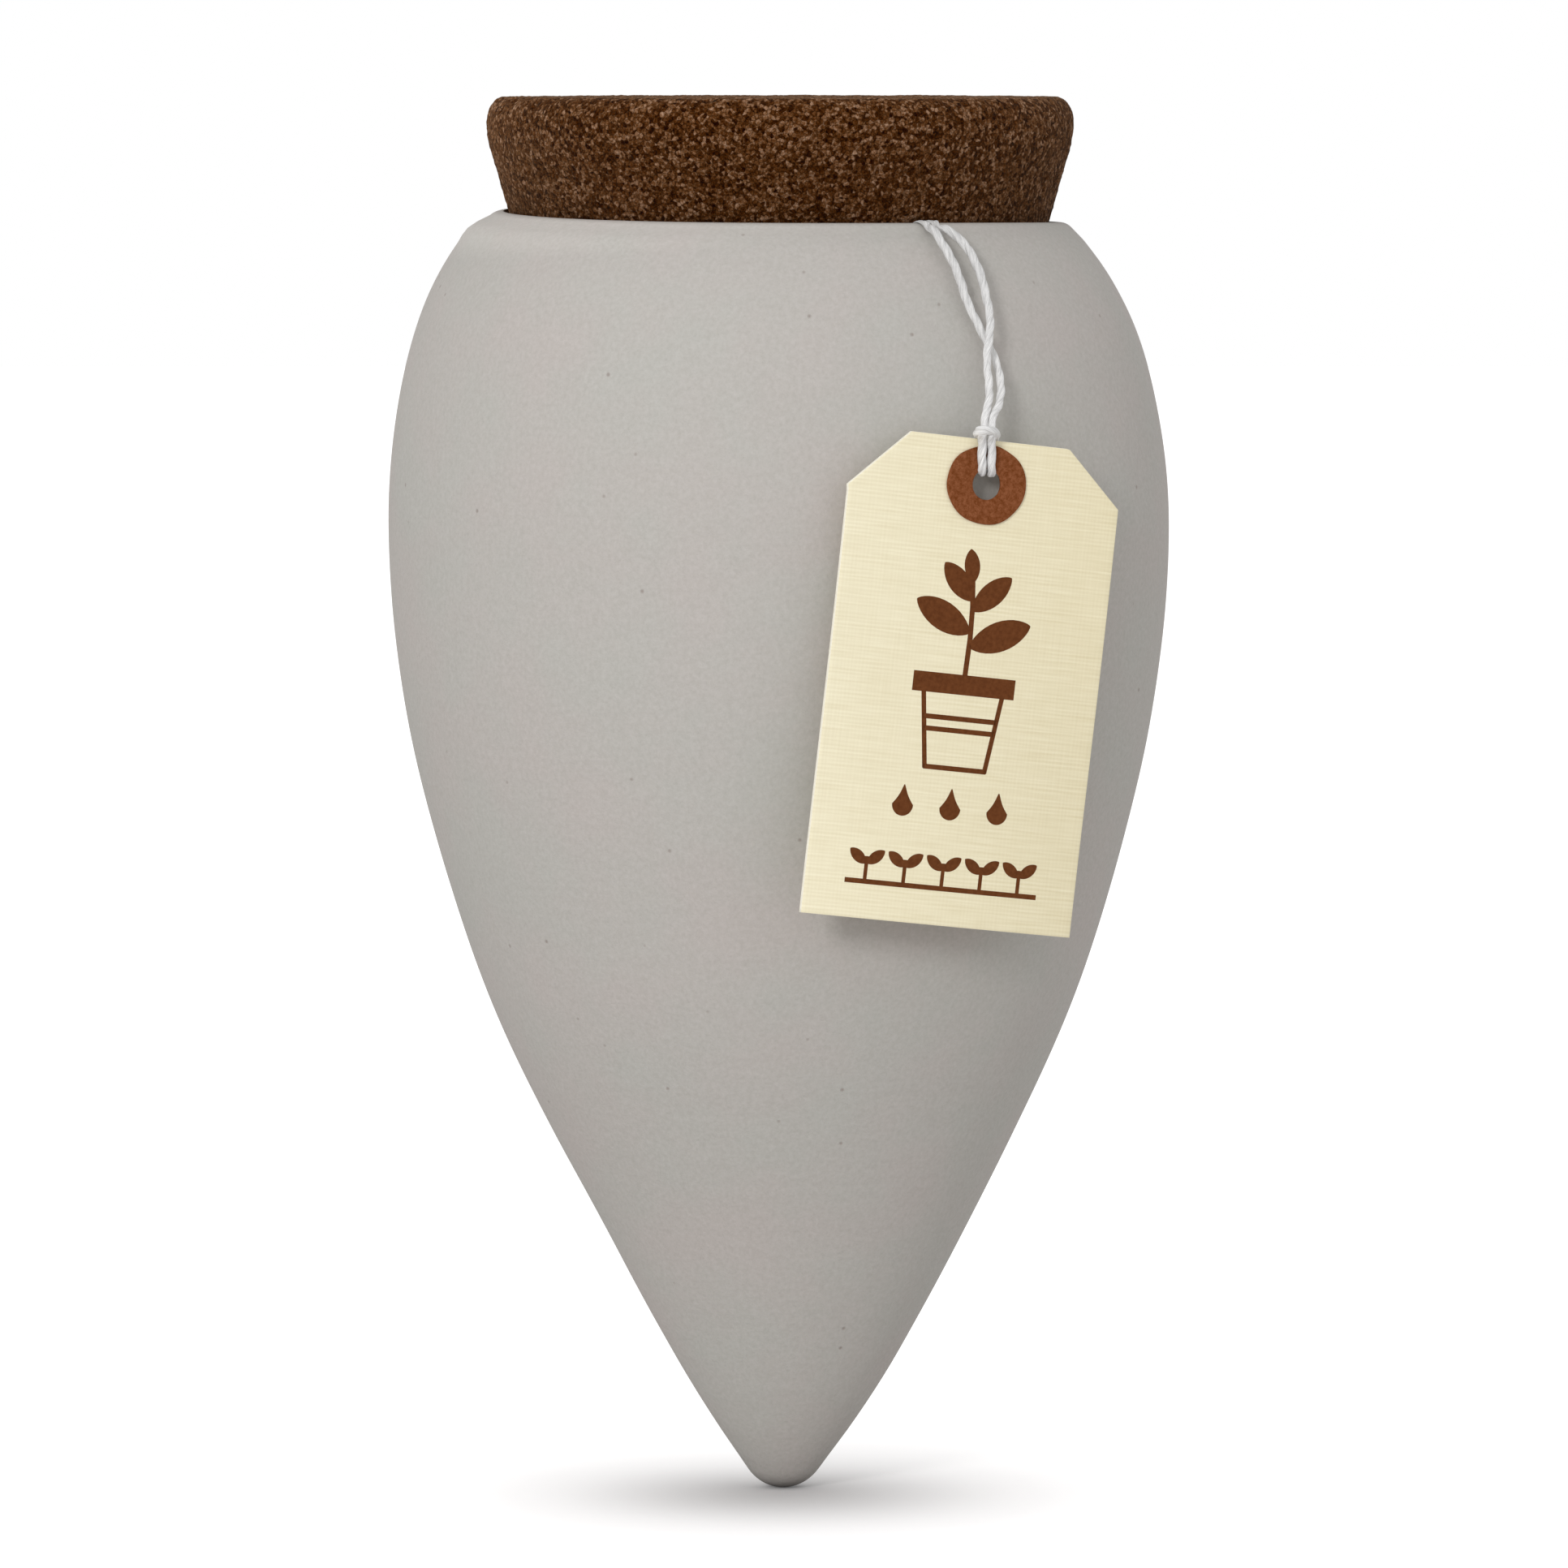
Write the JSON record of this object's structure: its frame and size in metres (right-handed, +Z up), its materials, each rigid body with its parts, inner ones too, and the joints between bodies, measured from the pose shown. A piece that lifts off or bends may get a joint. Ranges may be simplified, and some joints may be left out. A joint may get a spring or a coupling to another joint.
{
  "type": "irrigation olla",
  "caption": "Pointed unglazed clay watering vessel for burying in soil, closed by a tapered cork stopper, with a card tag on a doubled string nipped at the rim.",
  "frame": {"origin": "tip of the pointed vessel, on its axis", "axes": "+Z up the vessel's axis towards the stopper, -Y towards the front, +X to the right as seen from the front"},
  "size_m": [0.08, 0.0847, 0.1433],
  "materials": {
    "clay": "matte",
    "cork": "matte",
    "card": "matte",
    "fibre": "matte",
    "cotton": "matte"
  },
  "bodies": {
    "vessel": {"clay_vessel": "clay", "string_tail_left": "cotton", "string_tail_right": "cotton", "string_end_knot": "cotton"},
    "stopper": {"cork_stopper": "cork"},
    "strands": {"string_strand_left": "cotton", "string_strand_right": "cotton"},
    "tag": {"tag_card": "card", "tag_ring_front": "fibre", "tag_ring_back": "fibre", "string_hitch": "cotton"}
  },
  "joints": [
    {"name": "stopper_lift", "type": "slide", "parent": "vessel", "child": "stopper", "axis": [0, 0, 1], "range_m": [0, 0.04]},
    {"name": "tag_swing", "type": "hinge", "parent": "vessel", "child": "strands", "pos_m": [0.01469, -0.02515, 0.13187], "axis": [0.454, -0.891, 0], "range_deg": [-25, 25]},
    {"name": "tag_flip", "type": "hinge", "parent": "strands", "child": "tag", "pos_m": [0.021, -0.03856, 0.11], "axis": [-0.9073, -0.404, 0.1167], "range_deg": [0, 120]}
  ]
}
